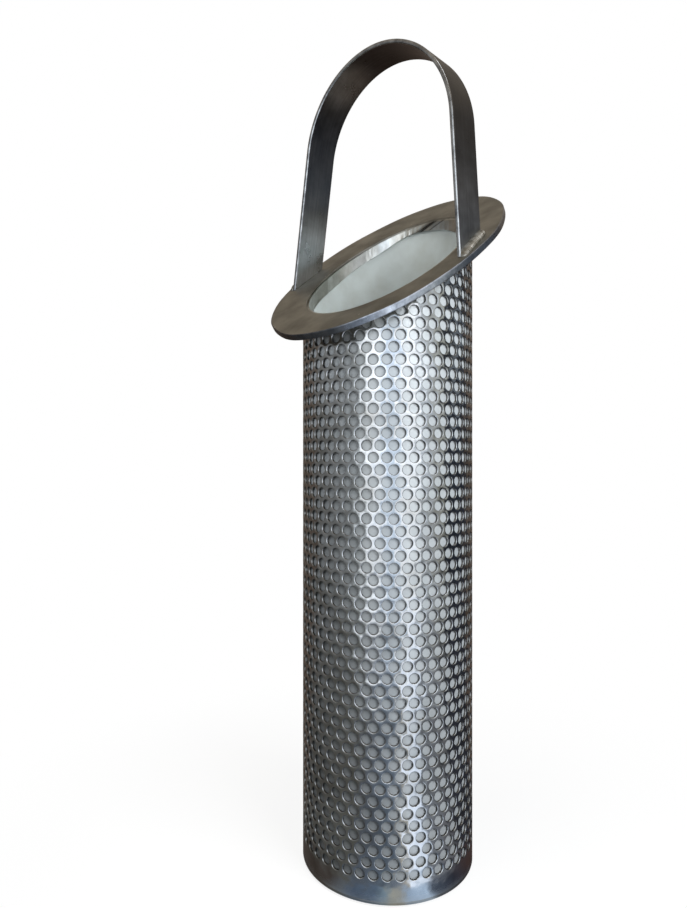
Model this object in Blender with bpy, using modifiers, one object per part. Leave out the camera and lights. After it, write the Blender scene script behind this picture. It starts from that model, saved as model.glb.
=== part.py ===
"""Bucket strainer with a slanted top flange.

A basket for a pipeline strainer pot: a rolled tube of perforated stainless sheet, lined with fine
woven wire mesh, closed by a plate at the foot. Its top is cut on a slant and carries a flat ring that
seats in the pot, and a flat strap, bent to an arch and welded to the ring, lifts it out.

Frame: metres, +Z up along the tube, origin on the tube's axis at its foot. The top slopes up
towards +Y, and the strap stands across the slope, over the X axis.
"""
import math

import bmesh
import bpy
from mathutils import Matrix, Vector
from mathutils.geometry import delaunay_2d_cdt

# Driving dimensions, in metres and degrees.
SHELL_OUTER_DIAMETER = 0.110
SHEET_THICKNESS = 0.002
SLANT_DEG = 38.3
TOP_FACE_HEIGHT = 0.3851        # where the ring's upper face crosses the tube's axis
FIT_GAP = 0.0003                # between pieces that touch

RING_OVERHANG = 0.0215          # how far the ring stands out past the tube, seen along its axis
RING_THICKNESS = 0.004
RING_OFFSET_X = -0.0042         # the ring was welded on a little off centre
RING_OFFSET_Y = 0.0051
RING_EDGE_RADIUS = 0.0005

HOLES_AROUND = 18               # coarser than the real sheet, with the same open share
HOLE_TO_PITCH = 0.746
HOLE_SIDES = 6
ROW_TO_PITCH = 0.88
FOOT_BAND = 0.0137              # plain strip under the lowest holes
TOP_MARGIN = 0.0035             # least metal between a hole and the slanted edge
SEAM_AZIMUTH_DEG = 125.0
SEAM_GAP = 0.0012

MESH_THICKNESS = 0.0004
MESH_GAP = 0.0007               # more than FIT_GAP, because the rolled sheet's inside is faceted

BAND_THICKNESS = 0.001
BAND_DEPTH = 0.0105             # height of the strip inside the mouth, along the tube
BAND_JOINT_AZIMUTH_DEG = 93.0
BAND_JOINT_WIDTH = 0.0009
BAND_JOINT_LEAN_DEG = 38.0

STRAP_WIDTH = 0.026
STRAP_THICKNESS = 0.0025
STRAP_EDGE_RADIUS = 0.0006
STRAP_TURN_DEG = -1.4           # the strap's plane, turned from the X axis
STRAP_LEAN_DEG = 2.5            # towards the low side
STRAP_SHIFT_Y = -0.0015
ARCH_CENTRE_X = 0.0017
ARCH_CENTRE_ABOVE_RING = 0.0704
ARCH_HALF_SPAN_TO_SHELL = 1.069
ARCH_RISE = 0.0625
LEFT_FOOT_TO_OVERHANG = 0.935   # where the legs' outer faces stand on the ring's overhang
RIGHT_FOOT_TO_OVERHANG = 0.409
FOOT_LEVEL = -0.0166            # height of the two measured places, from the ring's centre

BEAD_RADIUS = 0.0034
BEAD_RIPPLES = 9

# Derived sizes.
SLANT = math.radians(SLANT_DEG)
SHELL_OUTER = SHELL_OUTER_DIAMETER / 2.0
SHELL_INNER = SHELL_OUTER - SHEET_THICKNESS
SHELL_MIDDLE = SHELL_OUTER - SHEET_THICKNESS / 2.0
HOLE_PITCH = 2.0 * math.pi * SHELL_MIDDLE / HOLES_AROUND
ROW_PITCH = ROW_TO_PITCH * HOLE_PITCH
HOLE_RADIUS = HOLE_TO_PITCH * HOLE_PITCH / 2.0 * math.sqrt(
    math.pi / (HOLE_SIDES / 2.0 * math.sin(2.0 * math.pi / HOLE_SIDES)))
SHELL_FOOT = SHEET_THICKNESS + FIT_GAP
RING_RADIUS = SHELL_OUTER + RING_OVERHANG
ARCH_HALF_SPAN = ARCH_HALF_SPAN_TO_SHELL * SHELL_OUTER
LEFT_FOOT_X = -(SHELL_OUTER + LEFT_FOOT_TO_OVERHANG * RING_OVERHANG)
RIGHT_FOOT_X = SHELL_OUTER + RIGHT_FOOT_TO_OVERHANG * RING_OVERHANG
MESH_OUTER = SHELL_INNER - MESH_GAP
MESH_INNER = MESH_OUTER - MESH_THICKNESS
BAND_OUTER = MESH_INNER - FIT_GAP
BAND_INNER = BAND_OUTER - BAND_THICKNESS


def clear_scene():
    for thing in list(bpy.data.objects):
        bpy.data.objects.remove(thing, do_unlink=True)


def make_collection(name):
    collection = bpy.data.collections.new(name)
    bpy.context.scene.collection.children.link(collection)
    return collection


def make_material(name, colour, roughness, metallic=1.0):
    material = bpy.data.materials.new(name)
    material.use_nodes = True
    shader = material.node_tree.nodes["Principled BSDF"]
    shader.inputs["Base Color"].default_value = (*colour, 1.0)
    shader.inputs["Roughness"].default_value = roughness
    shader.inputs["Metallic"].default_value = metallic
    material.diffuse_color = (*colour, 1.0)
    return material


def move_to(thing, collection):
    for old in list(thing.users_collection):
        old.objects.unlink(thing)
    collection.objects.link(thing)


def finish(thing, name, material, angle=35.0):
    thing.name = name
    thing.data.name = name
    thing.data.materials.clear()
    thing.data.materials.append(material)
    thing.data.shade_smooth()
    thing.data.set_sharp_from_angle(angle=math.radians(angle))
    return thing


def add_cylinder(name, radius, depth, centre, collection, vertices=72):
    bpy.ops.mesh.primitive_cylinder_add(
        vertices=vertices, radius=radius, depth=depth, location=centre)
    thing = bpy.context.active_object
    thing.name = name
    move_to(thing, collection)
    return thing


def add_box(name, size, matrix, collection):
    bpy.ops.mesh.primitive_cube_add(size=1.0)
    thing = bpy.context.active_object
    thing.name = name
    thing.data.transform(Matrix.Diagonal((*size, 1.0)))
    thing.matrix_world = matrix
    move_to(thing, collection)
    return thing


def add_bevel(thing, width, segments=2, angle=40.0):
    bevel = thing.modifiers.new("Bevel", "BEVEL")
    bevel.width = width
    bevel.segments = segments
    bevel.limit_method = "ANGLE"
    bevel.angle_limit = math.radians(angle)
    return bevel


def add_boolean(thing, cutter, operation="DIFFERENCE"):
    cutter.hide_render = True
    cutter.display_type = "WIRE"
    boolean = thing.modifiers.new("Boolean", "BOOLEAN")
    boolean.operation = operation
    boolean.solver = "EXACT"
    boolean.object = cutter
    return boolean


def mesh_from_curve(curve_object, name, collection):
    """A curve object made a closed mesh object, its caps welded."""
    bpy.context.view_layer.update()
    depsgraph = bpy.context.evaluated_depsgraph_get()
    mesh = bpy.data.meshes.new_from_object(curve_object.evaluated_get(depsgraph))
    bm = bmesh.new()
    bm.from_mesh(mesh)
    bmesh.ops.remove_doubles(bm, verts=bm.verts, dist=0.000002)
    bmesh.ops.recalc_face_normals(bm, faces=bm.faces)
    bm.to_mesh(mesh)
    bm.free()
    thing = bpy.data.objects.new(name, mesh)
    thing.matrix_world = curve_object.matrix_world.copy()
    collection.objects.link(thing)
    bpy.data.objects.remove(curve_object, do_unlink=True)
    return thing


def ring_plane(y, below=0.0):
    """Height of the plane parallel to the ring's upper face and this far under it."""
    return TOP_FACE_HEIGHT + math.tan(SLANT) * y - below / math.cos(SLANT)


def add_half_space(name, below, collection, upper=True):
    """A big slanted block that holds what lies above, or below, a plane parallel to the ring."""
    size = 0.5
    sign = 1.0 if upper else -1.0
    turn = Matrix.Rotation(SLANT, 4, "X")
    base = Matrix.Translation((0.0, 0.0, TOP_FACE_HEIGHT - below / math.cos(SLANT)))
    lift = Matrix.Translation((0.0, 0.0, sign * size / 2.0))
    return add_box(name, (size, size, size), base @ turn @ lift, collection)


def polygon(x, z, radius, sides):
    """Corners of a hole on the flat sheet, with a corner at its top."""
    turns = [2.0 * math.pi * i / sides for i in range(sides)]
    return [Vector((x - radius * math.sin(turn), z + radius * math.cos(turn))) for turn in turns]


def flat_sheet(outline, holes, thickness):
    """A flat perforated sheet centred on the XY plane, its faces filled between the holes."""
    points = list(outline)
    loops = [list(range(len(outline)))]
    for corners in holes:
        loops.append(list(range(len(points), len(points) + len(corners))))
        points += corners
    filled = delaunay_2d_cdt(points, [], loops, 1, 0.0000001, True)
    bm = bmesh.new()
    verts = [bm.verts.new((point.x, point.y, -thickness / 2.0)) for point in filled[0]]
    for face, owners in zip(filled[2], filled[5]):
        if owners == [0]:
            bm.faces.new([verts[i] for i in face])
    loose = [vert for vert in bm.verts if not vert.link_faces]
    bmesh.ops.delete(bm, geom=loose, context="VERTS")
    grown = bmesh.ops.extrude_face_region(bm, geom=list(bm.faces), use_keep_orig=True)
    top = [item for item in grown["geom"] if isinstance(item, bmesh.types.BMVert)]
    bmesh.ops.translate(bm, verts=top, vec=(0.0, 0.0, thickness))
    return bm


def angle_at(x):
    """Azimuth of a place on the flat sheet, measured along it from the seam."""
    return math.radians(SEAM_AZIMUTH_DEG) + x / SHELL_MIDDLE


def make_shell(parts, material):
    """Perforated sheet, laid out flat with its holes and then rolled to a tube."""
    length = 2.0 * math.pi * SHELL_MIDDLE - SEAM_GAP
    start = SEAM_GAP / 2.0
    top_drop = RING_THICKNESS + FIT_GAP

    def top_at(x):
        return ring_plane(SHELL_MIDDLE * math.sin(angle_at(x)), top_drop)

    steps = 4 * HOLES_AROUND
    columns = [start + length * i / steps for i in range(steps + 1)]
    outline = [Vector((x, SHELL_FOOT)) for x in columns]
    outline += [Vector((x, top_at(x))) for x in reversed(columns)]

    holes = []
    first_row = FOOT_BAND + HOLE_RADIUS
    margin = TOP_MARGIN / math.cos(SLANT)
    row = 0
    while first_row + row * ROW_PITCH < ring_plane(SHELL_OUTER):
        z = first_row + row * ROW_PITCH
        for column in range(HOLES_AROUND):
            x = (column + (0.5 if row % 2 == 0 else 0.0)) * HOLE_PITCH
            if x < HOLE_PITCH / 4.0:
                continue
            corners = polygon(x, z, HOLE_RADIUS, HOLE_SIDES)
            if all(top_at(corner.x) - corner.y > margin for corner in corners):
                holes.append(corners)
        row += 1

    bm = flat_sheet(outline, holes, SHEET_THICKNESS)
    for vertex in bm.verts:
        x, z, out = vertex.co
        radius = SHELL_MIDDLE + out
        angle = angle_at(x)
        place = Vector((radius * math.cos(angle), radius * math.sin(angle), z))
        if abs(z - top_at(x)) < 0.00001:
            place.z = ring_plane(place.y, top_drop)
        vertex.co = place
    bmesh.ops.recalc_face_normals(bm, faces=bm.faces)
    if bm.calc_volume(signed=True) < 0.0:
        bmesh.ops.reverse_faces(bm, faces=bm.faces)
    mesh = bpy.data.meshes.new("perforated_shell")
    bm.to_mesh(mesh)
    bm.free()
    shell = bpy.data.objects.new("perforated_shell", mesh)
    parts.objects.link(shell)
    return finish(shell, "perforated_shell", material)


def make_seam_weld(parts, material):
    """Weld down the joint of the rolled sheet, ground flush, filling the joint's gap."""
    angle = math.radians(SEAM_AZIMUTH_DEG)
    width = SEAM_GAP - 2.0 * FIT_GAP
    top = ring_plane(SHELL_INNER * math.sin(angle), RING_THICKNESS + FIT_GAP) - width
    size = (SHEET_THICKNESS, width, top - SHELL_FOOT)
    turn = Matrix.Rotation(angle, 4, "Z")
    place = turn @ Matrix.Translation((SHELL_MIDDLE, 0.0, (top + SHELL_FOOT) / 2.0))
    weld = add_box("shell_seam_weld", size, place, parts)
    return finish(weld, "shell_seam_weld", material)


def make_bottom_plate(parts, material):
    """Disc that the tube is welded onto, its rim ground flush with the tube."""
    centre = (0.0, 0.0, SHEET_THICKNESS / 2.0)
    plate = add_cylinder("bottom_plate", SHELL_OUTER, SHEET_THICKNESS, centre, parts)
    return finish(plate, "bottom_plate", material)


def make_tube(name, outer, inner, bottom, top, collection, steps, start=0.0, sweep=360.0):
    """A thin-walled tube, or a part turn of one, from a straight profile turned by Screw."""
    bm = bmesh.new()
    upper = bm.verts.new((outer, 0.0, top))
    lower = bm.verts.new((outer, 0.0, bottom))
    bm.edges.new((upper, lower))
    mesh = bpy.data.meshes.new(name)
    bm.to_mesh(mesh)
    bm.free()
    thing = bpy.data.objects.new(name, mesh)
    collection.objects.link(thing)
    thing.rotation_euler.z = math.radians(start)
    screw = thing.modifiers.new("Screw", "SCREW")
    screw.angle = math.radians(sweep)
    screw.steps = steps
    screw.render_steps = steps
    screw.use_merge_vertices = sweep >= 360.0
    screw.merge_threshold = 0.00001
    solidify = thing.modifiers.new("Solidify", "SOLIDIFY")
    solidify.thickness = outer - inner
    solidify.offset = -1.0
    return thing


def make_mesh_liner(parts, cutters, material):
    """Fine woven wire cloth against the inside of the shell, as one thin wall."""
    liner = make_tube("mesh_liner", MESH_OUTER, MESH_INNER, SHELL_FOOT,
                      ring_plane(SHELL_OUTER) + 0.01, parts, 64)
    above = add_half_space("cut_liner_top", RING_THICKNESS / 2.0, cutters)
    add_boolean(liner, above)
    return finish(liner, "mesh_liner", material)


def make_retaining_band(parts, cutters, material):
    """Plain strip bent round inside the mouth over the mesh's edge, its ends meeting on a slant."""
    band = make_tube("retaining_band", BAND_OUTER, BAND_INNER, TOP_FACE_HEIGHT - 0.08,
                     TOP_FACE_HEIGHT + 0.08, parts, 72, start=BAND_JOINT_AZIMUTH_DEG)
    add_boolean(band, add_half_space("cut_band_top", FIT_GAP, cutters))
    depth = BAND_DEPTH * math.cos(SLANT)
    add_boolean(band, add_half_space("cut_band_foot", depth, cutters, upper=False))
    azimuth = math.radians(BAND_JOINT_AZIMUTH_DEG)
    middle = Matrix.Translation((0.0, 0.0, ring_plane(BAND_INNER * math.sin(azimuth)) - BAND_DEPTH / 2.0))
    place = middle @ Matrix.Rotation(azimuth, 4, "Z") @ Matrix.Translation((BAND_INNER, 0.0, 0.0))
    place = place @ Matrix.Rotation(math.radians(BAND_JOINT_LEAN_DEG), 4, "X")
    slot = add_box("cut_band_joint", (0.006, BAND_JOINT_WIDTH, 0.05), place, cutters)
    add_boolean(band, slot)
    return finish(band, "retaining_band", material)


def make_flange_ring(parts, cutters, material):
    """Flat oval ring on the slant. Seen along the tube, its rim and its mouth are circles."""
    ring = add_cylinder("flange_ring", RING_RADIUS, RING_THICKNESS, (0.0, 0.0, 0.0), parts, 80)
    ring.data.transform(Matrix.Diagonal((1.0, 1.0 / math.cos(SLANT), 1.0, 1.0)))
    lift = Matrix.Translation((RING_OFFSET_X, 0.0, 0.0))
    centre = Matrix.Translation((0.0, RING_OFFSET_Y, ring_plane(RING_OFFSET_Y)))
    sink = Matrix.Translation((0.0, 0.0, -RING_THICKNESS / 2.0))
    ring.matrix_world = lift @ centre @ Matrix.Rotation(SLANT, 4, "X") @ sink
    add_bevel(ring, RING_EDGE_RADIUS)
    bore = add_cylinder("cut_mouth", SHELL_INNER, 0.3, (0.0, 0.0, TOP_FACE_HEIGHT), cutters, 72)
    add_boolean(ring, bore)
    return finish(ring, "flange_ring", material)


def tangent_angle(x, z, side):
    """Where a line from this point touches the arch, as the arch's own angle."""
    px = (x - ARCH_CENTRE_X) / ARCH_HALF_SPAN
    pz = (z - ARCH_CENTRE_ABOVE_RING) / ARCH_RISE
    return math.atan2(pz, px) + side * math.acos(1.0 / math.hypot(px, pz))


def strap_matrix():
    place = Matrix.Translation((0.0, STRAP_SHIFT_Y, TOP_FACE_HEIGHT))
    turn = Matrix.Rotation(math.radians(STRAP_TURN_DEG), 4, "Z")
    lean = Matrix.Rotation(math.radians(STRAP_LEAN_DEG), 4, "X")
    return place @ turn @ lean


def strap_outline(steps=30):
    """The strap's outer face seen along its width: leg, arch, leg, each leg run down past the ring."""
    first = tangent_angle(RIGHT_FOOT_X, FOOT_LEVEL, 1.0)
    last = tangent_angle(LEFT_FOOT_X, FOOT_LEVEL, -1.0)
    if last < 0.0:
        last += 2.0 * math.pi
    arch = []
    for i in range(steps + 1):
        angle = first + (last - first) * i / steps
        arch.append(Vector((ARCH_CENTRE_X + ARCH_HALF_SPAN * math.cos(angle),
                            ARCH_CENTRE_ABOVE_RING + ARCH_RISE * math.sin(angle))))
    right = Vector((RIGHT_FOOT_X, FOOT_LEVEL))
    left = Vector((LEFT_FOOT_X, FOOT_LEVEL))
    right_end = right + (right - arch[0]).normalized() * 0.03
    left_end = left + (left - arch[-1]).normalized() * 0.03
    return [right_end] + arch + [left_end]


def make_handle(parts, cutters, material):
    """Flat strap bent to an arch, both legs cut on the slant to stand on the ring."""
    bm = bmesh.new()
    front = [bm.verts.new((p.x, -STRAP_WIDTH / 2.0, p.y)) for p in strap_outline()]
    rail = [bm.edges.new(pair) for pair in zip(front[:-1], front[1:])]
    grown = bmesh.ops.extrude_edge_only(bm, edges=rail)
    back = [item for item in grown["geom"] if isinstance(item, bmesh.types.BMVert)]
    bmesh.ops.translate(bm, verts=back, vec=(0.0, STRAP_WIDTH, 0.0))
    bmesh.ops.recalc_face_normals(bm, faces=bm.faces)
    bm.normal_update()
    top = max(bm.faces, key=lambda face: face.calc_center_median().z)
    if top.normal.z < 0.0:
        bmesh.ops.reverse_faces(bm, faces=bm.faces)
    mesh = bpy.data.meshes.new("lifting_handle")
    bm.to_mesh(mesh)
    bm.free()
    handle = bpy.data.objects.new("lifting_handle", mesh)
    parts.objects.link(handle)
    handle.matrix_world = strap_matrix()
    solidify = handle.modifiers.new("Solidify", "SOLIDIFY")
    solidify.thickness = STRAP_THICKNESS
    solidify.offset = -1.0
    add_bevel(handle, STRAP_EDGE_RADIUS, 2, 50.0)
    add_boolean(handle, add_half_space("cut_feet", -FIT_GAP, cutters, upper=False))
    return finish(handle, "lifting_handle", material)


def leg_line(side):
    """Two points on the outer face of a leg in the strap's own frame, low and high."""
    outline = strap_outline()
    if side > 0.0:
        return outline[0], outline[1]
    return outline[-1], outline[-2]


def foot_corner(side, width_place, out=0.0):
    """Where one long line of a leg's outer face meets the ring's upper face."""
    low, high = leg_line(side)
    run = (high - low).normalized()
    away = Vector((run.y, -run.x)) * side
    matrix = strap_matrix()
    a = matrix @ Vector((low.x + away.x * out, width_place, low.y + away.y * out))
    b = matrix @ Vector((high.x + away.x * out, width_place, high.y + away.y * out))
    normal = Vector((0.0, -math.sin(SLANT), math.cos(SLANT)))
    centre = Vector((0.0, 0.0, TOP_FACE_HEIGHT))
    share = (centre - a).dot(normal) / (b - a).dot(normal)
    return a.lerp(b, share)


def make_handle_weld(name, side, parts, cutters, material):
    """Rippled fillet weld along the outside of one foot, lying on the ring."""
    reach = BEAD_RADIUS * 0.25
    ends = STRAP_WIDTH / 2.0 - BEAD_RADIUS * 0.55
    start = foot_corner(side, -ends, reach)
    stop = foot_corner(side, ends, reach)
    curve = bpy.data.curves.new(name, "CURVE")
    curve.dimensions = "3D"
    curve.bevel_depth = BEAD_RADIUS
    curve.bevel_resolution = 2
    curve.use_fill_caps = True
    count = 3 * BEAD_RIPPLES
    spline = curve.splines.new("POLY")
    spline.points.add(count)
    for i in range(count + 1):
        share = i / count
        spline.points[i].co = (*start.lerp(stop, share), 1.0)
        swell = 1.0 - 0.12 * (0.5 + 0.5 * math.cos(2.0 * math.pi * BEAD_RIPPLES * share))
        taper = min(1.0, 0.45 + 5.0 * min(share, 1.0 - share))
        spline.points[i].radius = swell * taper
    rod = bpy.data.objects.new(name, curve)
    parts.objects.link(rod)
    bead = mesh_from_curve(rod, name, parts)
    add_boolean(bead, add_half_space("cut_" + name + "_foot", -FIT_GAP, cutters, upper=False))
    low, high = leg_line(side)
    run = (high - low).normalized()
    away = Vector((run.y, -run.x)) * side
    lean = math.atan2(run.x, run.y)
    face = Matrix.Translation((low.x, 0.0, low.y)) @ Matrix.Rotation(lean, 4, "Y")
    inward = -side * (0.02 - FIT_GAP)
    block = strap_matrix() @ face @ Matrix.Translation((inward, 0.0, 0.04))
    add_boolean(bead, add_box("cut_" + name + "_face", (0.04, 0.06, 0.16), block, cutters))
    return finish(bead, name, material, 50.0)


def build():
    clear_scene()
    parts = make_collection("bucket_strainer")
    cutters = make_collection("cutters")
    polished = make_material("polished_perforated_sheet", (0.46, 0.47, 0.49), 0.22)
    satin = make_material("satin_plate_steel", (0.20, 0.19, 0.17), 0.42)
    strap = make_material("dark_strap_steel", (0.13, 0.14, 0.15), 0.38)
    cloth = make_material("woven_wire_cloth", (0.52, 0.56, 0.56), 0.60, 0.6)
    brushed = make_material("brushed_strip_steel", (0.38, 0.38, 0.36), 0.36)
    weld = make_material("weld_metal", (0.42, 0.43, 0.42), 0.34)
    make_shell(parts, polished)
    make_seam_weld(parts, weld)
    make_bottom_plate(parts, satin)
    make_mesh_liner(parts, cutters, cloth)
    make_retaining_band(parts, cutters, brushed)
    make_flange_ring(parts, cutters, satin)
    make_handle(parts, cutters, strap)
    make_handle_weld("handle_weld_left", -1.0, parts, cutters, weld)
    make_handle_weld("handle_weld_right", 1.0, parts, cutters, weld)


build()
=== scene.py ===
"""Bucket strainer: the looks of a perforated basket with a slanted ring and a strap handle.

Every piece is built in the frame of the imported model: metres, +Z up along the tube, the origin on
the tube's axis at its foot. The mouth slopes up towards +Y, and the strap stands over the X axis.
"""
import math

import bmesh
import bpy
from bpy.props import FloatProperty, FloatVectorProperty, IntProperty, PointerProperty
from mathutils import Matrix, Vector
from mathutils.geometry import delaunay_2d_cdt


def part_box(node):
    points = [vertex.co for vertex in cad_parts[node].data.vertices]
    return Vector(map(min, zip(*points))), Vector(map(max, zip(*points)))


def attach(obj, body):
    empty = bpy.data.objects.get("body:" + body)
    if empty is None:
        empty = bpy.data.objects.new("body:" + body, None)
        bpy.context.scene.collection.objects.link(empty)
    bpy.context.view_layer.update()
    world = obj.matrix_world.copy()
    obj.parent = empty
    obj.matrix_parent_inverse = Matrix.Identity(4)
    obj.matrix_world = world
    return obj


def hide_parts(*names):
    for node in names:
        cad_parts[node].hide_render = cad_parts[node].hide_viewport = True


bl_info = {
    "name": "Bucket strainer",
    "version": (1, 0, 0),
    "blender": (4, 5, 0),
    "location": "3D View > Sidebar > Strainer",
    "description": "Builds the pieces of a perforated strainer basket on its packed frame",
    "category": "Add Mesh",
}

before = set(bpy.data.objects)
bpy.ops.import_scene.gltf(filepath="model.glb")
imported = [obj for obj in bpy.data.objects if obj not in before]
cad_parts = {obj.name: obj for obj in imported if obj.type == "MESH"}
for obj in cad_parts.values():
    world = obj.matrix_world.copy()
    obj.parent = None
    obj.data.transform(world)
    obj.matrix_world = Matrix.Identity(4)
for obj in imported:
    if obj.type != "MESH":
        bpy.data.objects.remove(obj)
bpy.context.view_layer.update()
plate_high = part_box("bottom_plate")[1]

PLATE_THICKNESS = plate_high.z
TUBE_OUTER = plate_high.x
FINE_STEPS = 172                # turns of the round pieces, four to each hole of the sheet
CAMERA_PLACE = (0.2519, -0.3522, 0.2591)
CAMERA_LOOK = (-0.6341, 0.7733, 0.0)
CAMERA_LENS = 26.09             # on a 36 mm high sensor, from the spacing of the holes
MIDDLE = Vector((0.0, 0.0, 0.26))
MOUTH_MIDDLE = Vector((0.0, 0.0, 0.45))
SEAM_DEGREES = 125.6            # where the rolled sheet's joint stands, round the tube
SEAM_GAP = 0.0008               # left between the sheet's two ends for the weld
JOINT_SLANT = 7.5               # turns round the mouth to a metre down, along the strip's joint
ARCH_STEPS = 96
ROOM_RADIUS = 2.0               # of the dome and the table that the steel mirrors
CARD_DISTANCE = 1.5
TABLE_LEVEL = -0.0004
FLOOR_LEVEL = -0.0012
SCUFF_PLACE = (-0.027, -0.008, 0.508)   # a spot on the arch's left shoulder that is painted brighter
LIP_DEGREES = 172.0             # round the mouth, where its dressed lip is widest
FLOOR_BOUNCE_HEX = "#5A5A5A"    # dark, so that the floor throws little light back up
CEILING_HEX = "#6E675E"         # the brownish light from above that the top of the ring mirrors

RADIAL = {"gradient_type": "RADIAL"}
TIMES = {"operation": "MULTIPLY"}
SMOOTH = {"interpolation_type": "SMOOTHSTEP"}
COLOUR_MIX = {"data_type": "RGBA"}
COLOUR_TIMES = {"data_type": "RGBA", "blend_type": "MULTIPLY"}


def linear(hex_colour):
    """An sRGB hex colour as the linear red, green and blue that a shader takes."""
    channels = [int(hex_colour[i:i + 2], 16) / 255.0 for i in (1, 3, 5)]
    return tuple(c / 12.92 if c <= 0.04045 else ((c + 0.055) / 1.055) ** 2.4 for c in channels)


def opaque(hex_colour):
    return (*linear(hex_colour), 1.0)


def bump_at(angle, centre_degrees, width_degrees):
    """A smooth hump round the tube: 1 at its centre, near 0 past twice its width."""
    away = (math.degrees(angle) - centre_degrees + 180.0) % 360.0 - 180.0
    return math.exp(-((away / width_degrees) ** 2))


def round_axis(angle, radius, z=0.0):
    """A point this far from the tube's axis, turned this far from the X axis."""
    return Vector((radius * math.cos(angle), radius * math.sin(angle), z))


def ring_plane(tube, y, below=0.0):
    """Height of the plane parallel to the ring's upper face and this far under it."""
    return tube.mouth_height + math.tan(tube.slant) * y - below / math.cos(tube.slant)


def ring_normal(tube):
    return Vector((0.0, -math.sin(tube.slant), math.cos(tube.slant)))


def connect(tree, node, links):
    """Feeds a node's sockets. A source is a socket, or a node, which stands for its first output."""
    for name, source in dict(links).items():
        if isinstance(source, bpy.types.Node):
            source = source.outputs[0]
        tree.links.new(source, node.inputs[name])


def add_node(tree, kind, settings=(), values=(), links=(), stops=()):
    """Adds one node with its settings, its plain socket values, what feeds it, and a ramp's stops."""
    node = tree.nodes.new(kind)
    for name, value in dict(settings).items():
        setattr(node, name, value)
    for name, value in dict(values).items():
        node.inputs[name].default_value = value
    connect(tree, node, links)
    for number, (place, colour) in enumerate(stops):
        elements = node.color_ramp.elements
        element = elements[number] if number < 2 else elements.new(place)
        element.position = place
        element.color = opaque(colour)
    return node


def new_material(name):
    """A plain metal, and what every finish starts from: its tree, its shader and its coordinates."""
    material = bpy.data.materials.new(name)
    material.use_nodes = True
    tree = material.node_tree
    shader = tree.nodes["Principled BSDF"]
    shader.inputs["Metallic"].default_value = 1.0
    return material, tree, shader, tree.nodes.new("ShaderNodeTexCoord").outputs["Object"]


def bare_material(name):
    """A material whose tree is still empty."""
    material = bpy.data.materials.new(name)
    material.use_nodes = True
    material.node_tree.nodes.clear()
    return material, material.node_tree


def unrolled(tree, spot, around, along):
    """Coordinates on a tube unrolled flat, its cut behind the seam: metres around times one scale,
    and metres along the axis times the other."""
    turned = add_node(tree, "ShaderNodeVectorRotate", {"rotation_type": "Z_AXIS"},
                      {"Angle": math.radians(180.0 - SEAM_DEGREES)}, {"Vector": spot})
    turn = add_node(tree, "ShaderNodeTexGradient", RADIAL, (), {"Vector": turned})
    across = add_node(tree, "ShaderNodeMath", TIMES,
                      {1: 2.0 * math.pi * TUBE_OUTER * around}, {0: turn.outputs["Fac"]})
    split = add_node(tree, "ShaderNodeSeparateXYZ", (), (), {"Vector": spot})
    up = add_node(tree, "ShaderNodeMath", TIMES, {1: along}, {0: split.outputs["Z"]})
    return add_node(tree, "ShaderNodeCombineXYZ", (), (), {"X": across, "Y": up})


def depth_in_mouth(tree, spot, tube):
    """A node that gives how far a point lies straight under the plane of the ring's upper face."""
    split = add_node(tree, "ShaderNodeSeparateXYZ", (), (), {"Vector": spot})
    plane = add_node(tree, "ShaderNodeMath", {"operation": "MULTIPLY_ADD"},
                     {1: math.tan(tube.slant), 2: tube.mouth_height}, {0: split.outputs["Y"]})
    return add_node(tree, "ShaderNodeMath", {"operation": "SUBTRACT"}, (),
                    {0: plane, 1: split.outputs["Z"]})


def polished_sheet_metal(tube):
    """Stainless sheet, punched and then polished while it turned: mirror-like, with fine lines
    round the tube and a shallow swell between the holes that breaks up what it mirrors."""
    material, tree, shader, spot = new_material("polished_stainless_sheet")
    lines = add_node(tree, "ShaderNodeTexNoise", {"noise_dimensions": "2D"}, {"Scale": 1.0, "Detail": 3.0},
                     {"Vector": unrolled(tree, spot, 25.0, 2600.0)})
    swell = add_node(tree, "ShaderNodeTexNoise", (), {"Scale": 105.0, "Detail": 1.5, "Roughness": 0.45},
                     {"Vector": spot})
    smears = add_node(tree, "ShaderNodeTexNoise", (), {"Scale": 38.0, "Detail": 4.0, "Roughness": 0.6},
                      {"Vector": spot})
    tint = add_node(tree, "ShaderNodeValToRGB", (), (), {"Fac": smears},
                    [(0.32, "#A4A5A4"), (0.55, tube_hex(tube))])
    haze = add_node(tree, "ShaderNodeMapRange", (),
                    {"From Min": 0.3, "From Max": 0.75, "To Min": 0.10, "To Max": 0.20},
                    {"Value": smears})
    split = add_node(tree, "ShaderNodeSeparateXYZ", (), (), {"Vector": spot})
    foot = add_node(tree, "ShaderNodeMapRange", (),
                    {"From Min": 0.0065, "From Max": 0.0025, "To Min": 0.0, "To Max": 0.3},
                    {"Value": split.outputs["Z"]})
    matt = add_node(tree, "ShaderNodeMath", {"operation": "ADD"}, (), {0: haze, 1: foot})
    scratch = add_node(tree, "ShaderNodeBump", (), {"Strength": 0.35, "Distance": 0.00004},
                       {"Height": lines})
    rolled = add_node(tree, "ShaderNodeBump", (), {"Strength": 1.0, "Distance": 0.0011},
                      {"Height": swell, "Normal": scratch})
    grit = add_node(tree, "ShaderNodeTexNoise", (), {"Scale": 900.0, "Detail": 2.0}, {"Vector": spot})
    ground = add_node(tree, "ShaderNodeBump", (), {"Distance": 0.0004},
                      {"Strength": foot, "Height": grit, "Normal": rolled})
    connect(tree, shader, {"Base Color": tint, "Roughness": matt, "Normal": ground})
    return material


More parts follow.
